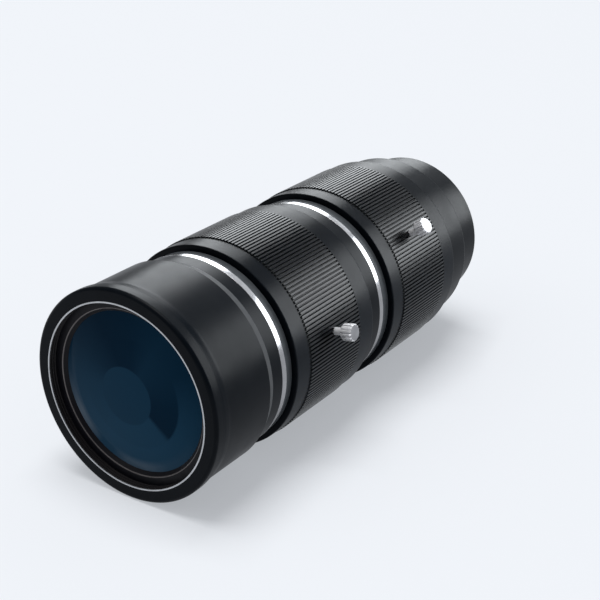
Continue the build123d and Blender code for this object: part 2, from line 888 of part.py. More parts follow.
def mount_screw(angle, gap):
    """Countersunk screw, grown sideways by a gap."""
    tip = body_length - mount_screw_length
    head_start = body_length - mount_screw_head_depth
    centre = around(mount_screw_circle_radius, angle, body_length)
    blank = [
        (0, tip),
        (mount_screw_radius + gap, tip),
        (mount_screw_radius + gap, head_start),
        (mount_screw_head_radius + gap, body_length),
        (0, body_length),
    ]
    profile = polygon([centre + Vector(radius, along(station), 0) for radius, station in blank])
    return revolve(profile, Axis(origin=centre, direction=(0, 1, 0)))


def make_mount_ring():
    """Camera mount: flange, boss and male thread round the rear light path."""
    thread_end = body_length + mount_thread_length
    mount = turned(
        (mount_bore_radius, body_length - rear_plate_thickness),
        (mount_boss_radius, body_length - rear_plate_thickness),
        (mount_boss_radius, body_length - mount_flange_thickness),
        (mount_flange_radius, body_length - mount_flange_thickness),
        (mount_flange_radius, body_length),
        (mount_thread_radius, body_length),
        (mount_thread_radius, thread_end - mount_thread_chamfer),
        (mount_thread_radius - mount_thread_chamfer, thread_end),
        (mount_bore_radius, thread_end),
    )
    for angle in mount_screw_angles():
        mount -= mount_screw(angle, seat_gap)
    return mount


def make_mount_screws():
    """Countersunk screws that hold the camera mount."""
    return Compound(children=[mount_screw(angle, 0) for angle in mount_screw_angles()])


def make_parts():
    """Every piece of the lens, by name."""
    focus_screw_station = (focus_knurl_start + focus_knurl_end) / 2
    iris_screw_station = (iris_knurl_start + iris_knurl_end) / 2
    parts = {
        "front_hood": make_front_hood(),
        "filter_thread_ring": make_filter_thread_ring(),
        "front_retaining_ring": make_front_retaining_ring(),
        "front_cell": make_front_cell(),
        "front_element": lens_element(front_glass),
        "second_element": lens_element(second_glass),
        "front_spacer": ring(inner_glass_radius, spacer_bore, spacer_start, spacer_end),
        "third_element": lens_element(third_glass),
        "cell_retaining_ring": make_cell_retaining_ring(),
        "front_tube": make_front_tube(),
        "front_accent_ring": make_accent_ring(front_accent_start),
        "guide_keys": make_guide_keys(),
        "focus_ring": make_focus_ring(),
        "focus_clip": make_focus_clip(),
        "focus_lock_screw": make_thumbscrew(focus_screw_angle, focus_screw_station),
        "main_barrel": make_main_barrel(),
        "rear_accent_ring": make_accent_ring(rear_accent_start),
        "iris_ring": make_iris_ring(),
        "iris_lock_screw": make_thumbscrew(iris_screw_angle, iris_screw_station),
        "iris_drive_pin": make_iris_drive_pin(),
        "iris_base_plate": make_iris_base_plate(),
        "iris_cam_ring": make_iris_cam_ring(),
        "iris_cover_ring": make_iris_cover_ring(),
        "rear_cell": make_rear_cell(),
        "fourth_element": lens_element(fourth_glass),
        "rear_spacer": ring(rear_glass_radius, rear_spacer_bore, rear_spacer_start, rear_spacer_end),
        "fifth_element": lens_element(fifth_glass),
        "rear_retaining_ring": make_rear_retaining_ring(),
        "rear_housing": make_rear_housing(),
        "mount_ring": make_mount_ring(),
        "mount_screws": make_mount_screws(),
    }
    for number in range(blade_count):
        parts[f"iris_blade_{number + 1}"] = make_iris_blade(number)
    return parts


os.makedirs("parts", exist_ok=True)
for name, shape in make_parts().items():
    export_step(shape, f"parts/{name}.step")
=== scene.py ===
import bpy
import math
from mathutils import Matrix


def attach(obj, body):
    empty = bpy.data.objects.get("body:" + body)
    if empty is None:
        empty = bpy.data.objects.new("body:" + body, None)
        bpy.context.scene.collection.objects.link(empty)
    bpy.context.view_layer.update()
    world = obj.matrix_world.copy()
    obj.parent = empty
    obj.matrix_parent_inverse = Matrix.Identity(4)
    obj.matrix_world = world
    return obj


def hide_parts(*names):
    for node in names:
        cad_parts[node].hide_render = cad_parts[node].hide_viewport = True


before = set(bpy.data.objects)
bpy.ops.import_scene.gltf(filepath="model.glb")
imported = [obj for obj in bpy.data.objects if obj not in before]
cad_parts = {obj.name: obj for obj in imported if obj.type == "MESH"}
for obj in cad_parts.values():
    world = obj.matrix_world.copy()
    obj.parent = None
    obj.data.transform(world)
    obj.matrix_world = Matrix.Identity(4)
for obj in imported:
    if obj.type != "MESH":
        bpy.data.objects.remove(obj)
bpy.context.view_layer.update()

# Sizes in millimetres: stations count back from the front rim, radii out from the optical axis
MM = 0.001
BODY_LENGTH = 129.5
SEAT_GAP = 0.05
SMOOTH_STEPS = 192

RIM_RADIUS = 26.2
RIM_END = 2.4
MOUTH_RADIUS = 23.0
HOOD_RADIUS = 25.71
HOOD_START = 5.8
HOOD_END = 20.5
SOCKET_START = 15.0
SLOPE_RADIUS = 25.56
SLOPE_END = 22.9
BAND_RADIUS = 24.7
COLLAR_RADIUS = 24.5
TUBE_RADIUS = 24.0
TUBE_BORE_RADIUS = 22.6
TUBE_END = 54.0
TUBE_EDGE = 0.05

ACCENT_SEAT_RADIUS = 23.45
ACCENT_WIDTH = 1.7
FRONT_ACCENT = 26.75
FRONT_COLLAR_END = 30.75
GUIDE_START = 42.25
GUIDE_RADIUS = 22.4
GUIDE_BORE_RADIUS = 21.0
BEARING_START = 54.25
MIDDLE_BAND = 65.0
REAR_ACCENT = 70.15
REAR_COLLAR_END = 74.6
IRIS_SEAT = 80.45
REAR_THREAD_RADIUS = 23.2
BARREL_END = 113.05

RING_RADIUS = 25.96
RING_BORE_RADIUS = 24.2
RING_MIDDLE_RADIUS = (RING_RADIUS + RING_BORE_RADIUS) / 2
KNURL_TIP_RADIUS = 26.26
KNURL_ROOT_RADIUS = 25.71
RIB_COUNT = 168
RIB_PROFILE = (0.0, 0.0, 1.0, 1.0, 1.0, 1.0, 1.0, 0.0)

CELL_SEAT_RADIUS = MOUTH_RADIUS - SEAT_GAP
FILTER_CREST_RADIUS = 22.6
FILTER_ROOT_RADIUS = 22.82
FILTER_PITCH = 0.75
FILTER_FLANK = 0.2
FILTER_END = 2.2
RETAINER_RADIUS = 20.6
RETAINER_START = 2.25
RETAINER_END = 3.2
GLASS_RADIUS = 20.8
GLASS_VIEW_RADIUS = 19.7
GLASS_CURVE = 220.0
GLASS_BACK = 9.2

HOUSING_START = 108.05
HOUSING_LIP_RADIUS = 25.5
HOUSING_LIP_END = 109.95
HOUSING_RADIUS = 24.42
HOUSING_SLOPE = 117.0
HOUSING_SLOPE_END = 119.6
HOUSING_END_RADIUS = 21.55
CAVITY_RADIUS = 19.55
CAVITY_START = 115.05
FLANGE_RADIUS = 17.0
FLANGE_START = 127.5
BOSS_RADIUS = 14.0
BOSS_START = 126.5
MOUNT_BORE_RADIUS = 10.4
MOUNT_RECESS_RADIUS = 10.7
MOUNT_FACE_RADIUS = 10.9
MOUNT_END = 133.5
MOUNT_EDGE = 0.2
CAMERA_THREAD_ROOT = 12.15
CAMERA_THREAD_CREST = 12.62
CAMERA_THREAD_PITCH = 25.4 / 32
CAMERA_THREAD_RELIEF = 0.35
CAMERA_THREAD_START = 0.45
CAMERA_THREAD_FLANK = 0.33
CAMERA_THREAD_LAND = 0.1
CAMERA_THREAD_GROOVE = 0.03


def along(station):
    """Y of a station, in metres."""
    return (station - BODY_LENGTH) * MM


def from_axis(place):
    """Distance of a place from the optical axis, in metres."""
    return math.hypot(place.x, place.z)


def soft_step(first, second, count=8):
    """Stops of a smooth slope between two (radius, station) ends."""
    stops = []
    for step in range(count + 1):
        share = step / count
        ease = share * share * (3 - 2 * share)
        radius = first[0] + (second[0] - first[0]) * ease
        stops.append((radius, first[1] + (second[1] - first[1]) * share))
    return stops


def sag(curve, radius):
    """Depth of a spherical surface at a radius."""
    return curve - math.sqrt(curve ** 2 - radius ** 2)


# Modelling by hand: every piece starts as a circle, which is extruded, scaled and bevelled


def activate(piece):
    """Select one piece only and make it the active one."""
    if bpy.context.mode != "OBJECT":
        bpy.ops.object.mode_set(mode="OBJECT")
    bpy.ops.object.select_all(action="DESELECT")
    piece.select_set(True)
    bpy.context.view_layer.objects.active = piece


def pick(piece, kind, wanted):
    """Select only the corners, edges or faces that pass a test, and stay in edit mode."""
    activate(piece)
    bpy.ops.object.mode_set(mode="EDIT")
    bpy.ops.mesh.select_mode(type=kind)
    bpy.ops.mesh.select_all(action="DESELECT")
    bpy.ops.object.mode_set(mode="OBJECT")
    mesh = piece.data
    for part in {"VERT": mesh.vertices, "EDGE": mesh.edges, "FACE": mesh.polygons}[kind]:
        part.select = wanted(part)
    bpy.ops.object.mode_set(mode="EDIT")


def start_circle(name, count, radius, **place):
    """A circle as a new piece, left in edit mode with all of it selected."""
    bpy.ops.object.select_all(action="DESELECT")
    bpy.ops.mesh.primitive_circle_add(vertices=count, radius=radius * MM, **place)
    piece = bpy.context.object
    piece.name = name
    piece.data.name = name
    bpy.ops.object.transform_apply(location=True, rotation=True, scale=True)
    bpy.ops.object.mode_set(mode="EDIT")
    bpy.ops.mesh.select_mode(type="VERT")
    bpy.ops.mesh.select_all(action="SELECT")
    return piece


def face_outward():
    """Turn every face of the piece outward and leave edit mode."""
    bpy.ops.mesh.select_all(action="SELECT")
    bpy.ops.mesh.normals_make_consistent(inside=False)
    bpy.ops.object.mode_set(mode="OBJECT")


def draw_out(radius, station, last_radius, last_station):
    """Extrude the selected loop to a new radius and station."""
    bpy.ops.mesh.extrude_region_move(
        TRANSFORM_OT_translate={"value": (0, (station - last_station) * MM, 0)}
    )
    if radius == 0:
        bpy.ops.mesh.merge(type="CENTER")
    elif radius != last_radius:
        share = radius / last_radius
        bpy.ops.transform.resize(value=(share, 1, share), center_override=(0, along(station), 0))


def turned(name, stops, count=SMOOTH_STEPS):
    """A turned piece. Its outline's stops are (radius, station), closed on the first stop or on the axis."""
    ring = stops[0][0] > 0
    outline = list(stops) + [stops[0]] if ring else list(stops)
    first = 0 if ring else 1
    radius, station = outline[first]
    piece = start_circle(name, count, radius, location=(0, along(station), 0), rotation=(math.pi / 2, 0, 0))
    if not ring:
        draw_out(*outline[0], *outline[1])
        pick(piece, "VERT", lambda corner: from_axis(corner.co) > radius * MM / 2)
    for last, stop in zip(outline[first:], outline[first + 1:]):
        draw_out(*stop, *last)
    bpy.ops.mesh.select_all(action="SELECT")
    bpy.ops.mesh.remove_doubles(threshold=1e-6)
    face_outward()
    return piece


def round_edge(piece, radius, station, width, segments=4):
    """Round off the turned edge at a radius and a station."""
    corners = piece.data.vertices
    reach = 0.004 * MM

    def on_edge(edge):
        return all(
            abs(from_axis(corners[number].co) - radius * MM) < reach
            and abs(corners[number].co.y - along(station)) < reach
            for number in edge.vertices
        )

    pick(piece, "EDGE", on_edge)
    bpy.ops.mesh.bevel(offset=width * MM, segments=segments, affect="EDGES", clamp_overlap=True)
    bpy.ops.object.mode_set(mode="OBJECT")


def break_edges(piece, width, segments=2, angle=30):
    """Break every remaining sharp edge, as a machinist does."""
    activate(piece)
    bevel = piece.modifiers.new("broken_edges", "BEVEL")
    bevel.width = width * MM
    bevel.segments = segments
    bevel.limit_method = "ANGLE"
    bevel.angle_limit = math.radians(angle)
    bevel.use_clamp_overlap = True
    bpy.ops.object.modifier_apply(modifier=bevel.name)


def finish_piece(piece, body, material, node, smooth=35):
    """Shade a piece, give it its material, and put it in its CAD node's place on its body."""
    activate(piece)
    bpy.ops.object.shade_smooth_by_angle(angle=math.radians(smooth))
    even = piece.modifiers.new("even_shading", "WEIGHTED_NORMAL")
    even.weight = 90
    even.keep_sharp = True
    bpy.ops.object.modifier_apply(modifier=even.name)
    piece.data.materials.clear()
    piece.data.materials.append(material)
    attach(piece, body)
    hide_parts(node)


def second_finish(piece, material, start, end, least_radius=TUBE_RADIUS + 0.2):
    """Give the outer faces between two stations their own finish."""
    piece.data.materials.append(material)
    number = len(piece.data.materials) - 1
    for face in piece.data.polygons:
        if along(start) < face.center.y < along(end) and from_axis(face.center) > least_radius * MM:
            face.material_index = number


# Patterns for the materials


def new_material(name):
    """A material with its node tree and its main shader."""
    material = bpy.data.materials.new(name)
    material.use_nodes = True
    tree = material.node_tree
    shader = next(node for node in tree.nodes if node.type == "BSDF_PRINCIPLED")
    return material, tree, shader


def add(tree, kind, **values):
    """A new node with some of its settings."""
    node = tree.nodes.new(kind)
    for name, value in values.items():
        setattr(node, name, value)
    return node


def object_place(tree):
    """Place on the object's own coordinates, in metres."""
    return add(tree, "ShaderNodeTexCoord").outputs["Object"]


def speckle(tree, scale, detail=3):
    """Noise on the object's own coordinates, whose features are about 1 / scale metres wide."""
    noise = add(tree, "ShaderNodeTexNoise")
    noise.inputs["Scale"].default_value = scale
    noise.inputs["Detail"].default_value = detail
    tree.links.new(object_place(tree), noise.inputs["Vector"])
    return noise.outputs["Fac"]


def turning_marks(tree, pitch_mm, wander):
    """Fine grooves left by a lathe, which run round the optical axis."""
    wave = add(tree, "ShaderNodeTexWave", wave_type="BANDS", bands_direction="Y", wave_profile="SIN")
    wave.inputs["Scale"].default_value = 2 * math.pi / (20 * pitch_mm * MM)
    wave.inputs["Distortion"].default_value = wander
    tree.links.new(object_place(tree), wave.inputs["Vector"])
    return wave.outputs["Fac"]


def spread(tree, source, low, high, start=0.3, end=0.7):
    """Map a pattern's range from start to end onto values from low to high."""
    remap = add(tree, "ShaderNodeMapRange")
    remap.inputs["From Min"].default_value = start
    remap.inputs["From Max"].default_value = end
    remap.inputs["To Min"].default_value = low
    remap.inputs["To Max"].default_value = high
    tree.links.new(source, remap.inputs["Value"])
    return remap.outputs["Result"]


def product(tree, first, second):
    """Two patterns multiplied."""
    both = add(tree, "ShaderNodeMath", operation="MULTIPLY")
    tree.links.new(first, both.inputs[0])
    tree.links.new(second, both.inputs[1])
    return both.outputs["Value"]


def blend(tree, factor, *colours):
    """Two colours mixed by a pattern. Each is a plain colour or another node's output."""
    mix = add(tree, "ShaderNodeMix", data_type="RGBA")
    tree.links.new(factor, mix.inputs[0])
    for socket, colour in zip((mix.inputs[6], mix.inputs[7]), colours):
        if isinstance(colour, tuple):
            socket.default_value = (*colour, 1)
        else:
            tree.links.new(colour, socket)
    return mix.outputs[2]


def relief(tree, shader, *layers):
    """Stack bump layers of (pattern, height in mm, strength) on a shader."""
    normal = None
    for pattern, height, strength in layers:
        bump = add(tree, "ShaderNodeBump")
        bump.inputs["Distance"].default_value = height * MM
        bump.inputs["Strength"].default_value = strength
        tree.links.new(pattern, bump.inputs["Height"])
        if normal:
            tree.links.new(normal, bump.inputs["Normal"])
        normal = bump.outputs["Normal"]
    tree.links.new(normal, shader.inputs["Normal"])


def radius_from(tree, x=0, z=0):
    """Distance from the optical axis or from a line beside it, in millimetres."""
    flatten = add(tree, "ShaderNodeVectorMath", operation="MULTIPLY_ADD")
    flatten.inputs[1].default_value = (1 / MM, 0, 1 / MM)
    flatten.inputs[2].default_value = (-x, 0, -z)
    length = add(tree, "ShaderNodeVectorMath", operation="LENGTH")
    tree.links.new(object_place(tree), flatten.inputs[0])
    tree.links.new(flatten.outputs["Vector"], length.inputs[0])
    return length.outputs["Value"]


def station_behind_rim(tree):
    """Station behind the front rim, in millimetres."""
    split = add(tree, "ShaderNodeSeparateXYZ")
    station = add(tree, "ShaderNodeMath", operation="MULTIPLY_ADD")
    station.inputs[1].default_value = 1 / MM
    station.inputs[2].default_value = BODY_LENGTH
    tree.links.new(object_place(tree), split.inputs[0])
    tree.links.new(split.outputs["Y"], station.inputs[0])
    return station.outputs["Value"]


def painted_light_ring(tree, turn, tones):
    """Tones of painted light and shade round the axis, as (degrees from +X towards +Z, tone) from -180 to
    180.
    """
    ramp = add(tree, "ShaderNodeValToRGB")
    stops = ramp.color_ramp.elements
    stops[0].position = 0
    stops[1].position = 1
    for degrees, tone in tones[1:-1]:
        stops.new((degrees + 180) / 360)
    for stop, (degrees, tone) in zip(stops, tones):
        stop.color = (tone, tone, tone, 1)
    tree.links.new(turn, ramp.inputs["Fac"])
    return ramp.outputs["Color"]


# Finishes, some of them with painted light and shade

FILM_DARK = (0.0012, 0.0024, 0.0042)
FILM_LIGHT = (0.0021, 0.0034, 0.0054)
FILM_SPECULAR = 0.055
DULL_SPECULAR = 0.02


def black_anodised(name, dark=FILM_DARK, light=FILM_LIGHT, gloss=(0.28, 0.35), dull=None):
    """Semi-gloss black anodised metal with turning marks and a grain, duller between the dull stations."""
    material, tree, shader = new_material(name)
    mottle = spread(tree, speckle(tree, 420), 0, 1)
    tree.links.new(blend(tree, mottle, dark, light), shader.inputs["Base Color"])
    tree.links.new(spread(tree, speckle(tree, 160, 4), *gloss), shader.inputs["Roughness"])
    shader.inputs["Specular IOR Level"].default_value = FILM_SPECULAR
    if dull:
        station = station_behind_rim(tree)
        rise = spread(tree, station, 0, 1, *dull[:2])
        fall = spread(tree, station, 1, 0, *dull[2:])
        specular = spread(tree, product(tree, rise, fall), FILM_SPECULAR, DULL_SPECULAR, 0, 1)
        tree.links.new(specular, shader.inputs["Specular IOR Level"])
    relief(tree, shader, (turning_marks(tree, 0.14, 0.4), 0.004, 0.12), (speckle(tree, 9000, 2), 0.003, 0.10))
    return material


def black_knurl(name):
    """Black anodised ribs with painted light: the grooves are darker as painted shade and duller, and the
    edges of the crests lighter as a painted highlight, mottled at random like wear.
    """
    material, tree, shader = new_material(name)
    radius = radius_from(tree)
    height = spread(tree, radius, 0, 1, KNURL_ROOT_RADIUS + 0.01, RING_RADIUS - 0.01)
    # Painted light: the film is darker down in the grooves as painted shade, with random wear mottle, and the
    # crest shoulders are lighter as a painted highlight
    height_shade_and_wear = product(tree, height, spread(tree, speckle(tree, 500), 0.6, 1))
    film = blend(tree, height_shade_and_wear, (0.0015, 0.002, 0.0025), (0.003, 0.004, 0.0055))
    rise = spread(tree, radius, 0, 1, KNURL_TIP_RADIUS - 0.26, KNURL_TIP_RADIUS - 0.06)
    fall = spread(tree, radius, 1, 0.1, KNURL_TIP_RADIUS - 0.04, KNURL_TIP_RADIUS - 0.02)
    shoulder_highlight = product(tree, rise, fall)
    tree.links.new(blend(tree, shoulder_highlight, film, (0.006, 0.007, 0.008)), shader.inputs["Base Color"])
    tree.links.new(spread(tree, shoulder_highlight, 0.13, 0.07, 0, 1), shader.inputs["Specular IOR Level"])
    tree.links.new(spread(tree, height, 0.5, 0.28, 0, 1), shader.inputs["Roughness"])
    relief(tree, shader, (speckle(tree, 7000, 2), 0.004, 0.15))
    return material


def bare_metal(name, colour, gloss=(0.25, 0.4), marks=0.09, depth=0.2, metallic=1.0):
    """Turned bare metal with tool marks that run round it."""
    material, tree, shader = new_material(name)
    mottle = spread(tree, speckle(tree, 600, 4), 0, 1)
    duller = tuple(value * 0.88 for value in colour)
    tree.links.new(blend(tree, mottle, duller, colour), shader.inputs["Base Color"])
    shader.inputs["Metallic"].default_value = metallic
    tree.links.new(spread(tree, speckle(tree, 300, 4), *gloss), shader.inputs["Roughness"])
    grooves = turning_marks(tree, marks, 0.3)
    relief(tree, shader, (grooves, 0.003, depth), (speckle(tree, 12000, 2), 0.001, 0.1))
    return material


def edged_black(name, dark, edge, gloss, limits):
    """Black anodised metal with a bare machined edge, which fades out over each (pattern, start, end)."""
    material, tree, shader = new_material(name)
    bare = None
    for pattern, start, end in limits:
        within = spread(tree, pattern(tree), 1, 0, start, end)
        bare = product(tree, bare, within) if bare else within
    duller = tuple(value * 0.8 for value in edge)
    metal = blend(tree, spread(tree, speckle(tree, 500), 0, 1), duller, edge)
    tree.links.new(blend(tree, bare, dark, metal), shader.inputs["Base Color"])
    tree.links.new(spread(tree, bare, 0, 0.8, 0, 1), shader.inputs["Metallic"])
    tree.links.new(spread(tree, speckle(tree, 300), *gloss), shader.inputs["Roughness"])
    shader.inputs["Specular IOR Level"].default_value = 0.12
    relief(tree, shader, (turning_marks(tree, 0.12, 0.3), 0.003, 0.15), (speckle(tree, 8000, 2), 0.003, 0.15))
    return material


def matt_black(name):
    """Dull black paint that kills stray light inside the lens."""
    material, tree, shader = new_material(name)
    mottle = spread(tree, speckle(tree, 900), 0, 1)
    paint = blend(tree, mottle, (0.004, 0.004, 0.006), (0.008, 0.007, 0.009))
    tree.links.new(paint, shader.inputs["Base Color"])
    tree.links.new(spread(tree, speckle(tree, 400), 0.5, 0.65), shader.inputs["Roughness"])
    shader.inputs["Specular IOR Level"].default_value = 0.12
    relief(tree, shader, (speckle(tree, 8000, 2), 0.006, 0.25))
    return material


# Painted reflections and shade on the front glass: tones of painted light round the axis in an outer and an
# inner zone, a grey painted reflection near the edge, and a paler painted reflection disc off the centre
OUTER_PAINTED_LIGHT = (
    (-180, 0.42), (-150, 0.2), (-120, 0.05), (-90, 0.05), (-60, 0.1), (-30, 0.25), (0, 0.5), (30, 0.8),
    (60, 0.72), (90, 0.92), (120, 1.0), (150, 0.75), (180, 0.42),
)
INNER_PAINTED_LIGHT = (
    (-180, 0.42), (-150, 0.3), (-120, 0.15), (-90, 0.15), (-45, 0.2), (-38, 1.0), (-5, 0.95), (30, 0.8),
    (60, 0.7), (85, 0.95), (115, 1.0), (150, 0.78), (180, 0.42),
)
EDGE_PAINTED_REFLECTION = (
    (-180, 0.18), (-162, 0.6), (-150, 1.0), (-138, 0.75), (-124, 0.1), (-112, 0.1), (-98, 0.5), (-82, 0.55),
    (-60, 0.12), (-20, 0.0), (60, 0.0), (150, 0.0), (165, 0.05), (180, 0.18),
)
PAINTED_LIGHT_EDGE = (13.2, 13.7)
REFLECTION_DISC_CENTRE = (-1.4, -1.0)
REFLECTION_DISC_EDGE = (7.0, 7.3)
REFLECTION_GREY_EDGE = (16.8, 18.4)
REFLECTION_DISC_TONE = (0.42, 0.42, 0.42)
COATING_PAINTED_REFLECTION = (0.0095, 0.041, 0.078)
COATING_DEEP = (0.0001, 0.009, 0.023)
EDGE_REFLECTION_GREY = (0.085, 0.115, 0.15)


def glass_with_painted_light(name):
    """Front glass with a deep blue-green coating, on which reflections and shade of what lies inside are
    painted as soft tones round a paler disc, with a grey painted reflection near the edge.
    """
    material, tree, shader = new_material(name)
    split = add(tree, "ShaderNodeSeparateXYZ")
    angle = add(tree, "ShaderNodeMath", operation="ARCTAN2")
    tree.links.new(object_place(tree), split.inputs[0])
    tree.links.new(split.outputs["Z"], angle.inputs[0])
    tree.links.new(split.outputs["X"], angle.inputs[1])
    turn = spread(tree, angle.outputs["Value"], 0, 1, -math.pi, math.pi)
    radius = radius_from(tree)
    # Painted light: tones round the axis and a paler disc stand for reflections and shade inside the glass,
    # and a grey ring for a reflection near its edge
    outer = spread(tree, radius, 0, 1, *PAINTED_LIGHT_EDGE)
    tones = blend(tree, outer, painted_light_ring(tree, turn, INNER_PAINTED_LIGHT), painted_light_ring(tree, turn, OUTER_PAINTED_LIGHT))
    reflection_disc = spread(tree, radius_from(tree, *REFLECTION_DISC_CENTRE), 0, 1, *REFLECTION_DISC_EDGE)
    coating = blend(tree, blend(tree, reflection_disc, REFLECTION_DISC_TONE, tones), COATING_PAINTED_REFLECTION, COATING_DEEP)
    edge_reflection = product(tree, spread(tree, radius, 0, 1, *REFLECTION_GREY_EDGE), painted_light_ring(tree, turn, EDGE_PAINTED_REFLECTION))
    tree.links.new(blend(tree, edge_reflection, coating, EDGE_REFLECTION_GREY), shader.inputs["Base Color"])
    tree.links.new(spread(tree, speckle(tree, 60, 2), 0.03, 0.05), shader.inputs["Roughness"])
    shader.inputs["Specular IOR Level"].default_value = 0.04
    shader.inputs["Specular Tint"].default_value = (0.05, 0.5, 0.9, 1)
    return material


def clear_glass(name, tint):
    """Polished inner element with a thin coloured coating."""
    material, tree, shader = new_material(name)
    mottle = spread(tree, speckle(tree, 90, 2), 0, 1)
    deeper = tuple(value * 0.8 for value in tint)
    tree.links.new(blend(tree, mottle, tint, deeper), shader.inputs["Base Color"])
    tree.links.new(spread(tree, speckle(tree, 70, 2), 0.02, 0.05), shader.inputs["Roughness"])
    shader.inputs["Transmission Weight"].default_value = 0.6
    shader.inputs["IOR"].default_value = 1.5
    return material


BLACK_HOOD = black_anodised(
    "black_anodised_hood", dull=(RIM_END - 0.2, RIM_END + 0.8, HOOD_START - 1.2, HOOD_START),
)
BLACK_BARREL = black_anodised("black_anodised_barrel")
BLACK_KNURL = black_knurl("black_anodised_knurl")
# The slope behind the hood is painted a lighter grey as a painted reflection
SLOPE_PAINTED_REFLECTION = black_anodised("slope_painted_reflection", (0.048, 0.050, 0.053), (0.058, 0.061, 0.064), (0.4, 0.5))
# The collars are painted a lighter grey as painted light, where the grip rings' lips shade them
COLLAR_PAINTED_LIGHT = black_anodised("collar_painted_light", (0.045, 0.05, 0.055), (0.06, 0.066, 0.072), (0.3, 0.4))
BRIGHT_TRIM = bare_metal("bright_plated_trim", (0.31, 0.31, 0.32), (0.14, 0.19), depth=0.08)
BRIGHT_SCREW = bare_metal("bright_plated_screw", (0.88, 0.88, 0.90), (0.25, 0.35), 0.2, 0.08, 0.55)
# The screws' end faces get a darker copy of their metal as painted shade, for a dimmer reflection
SCREW_END_PAINTED_SHADE = bare_metal("screw_end_painted_shade", (0.25, 0.25, 0.26), (0.3, 0.36), 0.2, 0.08)
BARE_THREAD = edged_black(
    "bare_edged_thread", (0.010, 0.009, 0.010), (0.52, 0.53, 0.55), (0.3, 0.42),
    [(station_behind_rim, 0.1, 0.25)],
)
EDGED_RETAINER = edged_black(
    "bare_edged_retainer", (0.003, 0.003, 0.005), (0.13, 0.12, 0.12), (0.4, 0.5),
    [
        (station_behind_rim, RETAINER_START + 0.11, RETAINER_START + 0.19),
        (radius_from, RETAINER_RADIUS + 0.06, RETAINER_RADIUS + 0.14),
    ],
)
DULL_INSIDE = matt_black("matt_black_inside")
# The front glass carries painted reflections and shade
FRONT_GLASS = glass_with_painted_light("coated_front_glass_painted_light")
INNER_GLASS = clear_glass("coated_inner_glass", (0.25, 0.5, 0.6))
MACHINED_BRASS = bare_metal("machined_brass", (0.71, 0.55, 0.28))
PLAIN_STEEL = bare_metal("plain_steel", (0.50, 0.50, 0.52))
BLUED_BLADES = black_anodised("blued_blade_sheet", (0.020, 0.021, 0.024), (0.032, 0.033, 0.038), (0.35, 0.5))

# Front group

hood = turned("front_hood_shell", [
    (MOUTH_RADIUS, 0), (RIM_RADIUS, 0), *soft_step((RIM_RADIUS, RIM_END), (HOOD_RADIUS, HOOD_START)),
    (HOOD_RADIUS, HOOD_END), (TUBE_RADIUS, HOOD_END), (TUBE_RADIUS, SOCKET_START),
    (MOUTH_RADIUS, SOCKET_START),
])
round_edge(hood, RIM_RADIUS, 0, width=0.9, segments=8)
break_edges(hood, width=0.1, segments=3, angle=40)
finish_piece(hood, "front_group", BLACK_HOOD, "front_hood", smooth=50)

thread_stops = [(CELL_SEAT_RADIUS, 0), (FILTER_CREST_RADIUS, 0)]
for turn in range(3):
    start = FILTER_FLANK + FILTER_PITCH * turn
    thread_stops += [
        (FILTER_CREST_RADIUS, start), (FILTER_ROOT_RADIUS, start + FILTER_FLANK),
        (FILTER_CREST_RADIUS, start + 2 * FILTER_FLANK),
    ]
thread_stops += [(FILTER_CREST_RADIUS, FILTER_END), (CELL_SEAT_RADIUS, FILTER_END)]
filter_thread = turned("filter_thread", thread_stops)
finish_piece(filter_thread, "front_group", BARE_THREAD, "filter_thread_ring")

retainer = turned("front_retainer", [
    (RETAINER_RADIUS, RETAINER_START), (CELL_SEAT_RADIUS, RETAINER_START), (CELL_SEAT_RADIUS, RETAINER_END),
    (GLASS_VIEW_RADIUS, RETAINER_END),
])
round_edge(retainer, RETAINER_RADIUS, RETAINER_START, width=0.12, segments=2)
finish_piece(retainer, "front_group", EDGED_RETAINER, "front_retaining_ring")

glass_rings = 20
glass_vertex = RETAINER_END + SEAT_GAP - sag(GLASS_CURVE, GLASS_VIEW_RADIUS)
glass_stops = [(0, glass_vertex)]
for ring in range(1, glass_rings + 1):
    radius = GLASS_RADIUS * ring / glass_rings
    glass_stops.append((radius, glass_vertex + sag(GLASS_CURVE, radius)))
glass_stops += [(GLASS_RADIUS, GLASS_BACK), (0, GLASS_BACK)]
front_glass = turned("front_glass", glass_stops)
finish_piece(front_glass, "front_group", FRONT_GLASS, "front_element")

tube_start = SOCKET_START + SEAT_GAP
spigot_radius = TUBE_RADIUS - SEAT_GAP
front_accent_end = FRONT_ACCENT + ACCENT_WIDTH
tube = turned("front_tube_sleeve", [
    (TUBE_BORE_RADIUS, tube_start), (spigot_radius, tube_start), (spigot_radius, HOOD_END),
    (SLOPE_RADIUS, HOOD_END), (BAND_RADIUS, SLOPE_END), (BAND_RADIUS, FRONT_ACCENT),
    (ACCENT_SEAT_RADIUS, FRONT_ACCENT), (ACCENT_SEAT_RADIUS, front_accent_end),
    (COLLAR_RADIUS, front_accent_end), (COLLAR_RADIUS, FRONT_COLLAR_END), (TUBE_RADIUS, FRONT_COLLAR_END),
    (TUBE_RADIUS, TUBE_END), (TUBE_BORE_RADIUS, TUBE_END),
])
break_edges(tube, width=TUBE_EDGE)
finish_piece(tube, "front_group", BLACK_BARREL, "front_tube", smooth=18)
# Painted reflection: the slope behind the hood is lighter grey
second_finish(tube, SLOPE_PAINTED_REFLECTION, HOOD_END + 0.02, SLOPE_END - TUBE_EDGE)
# Painted light on the front collar, which the focus ring's lip shades
second_finish(tube, COLLAR_PAINTED_LIGHT, front_accent_end, FRONT_COLLAR_END)


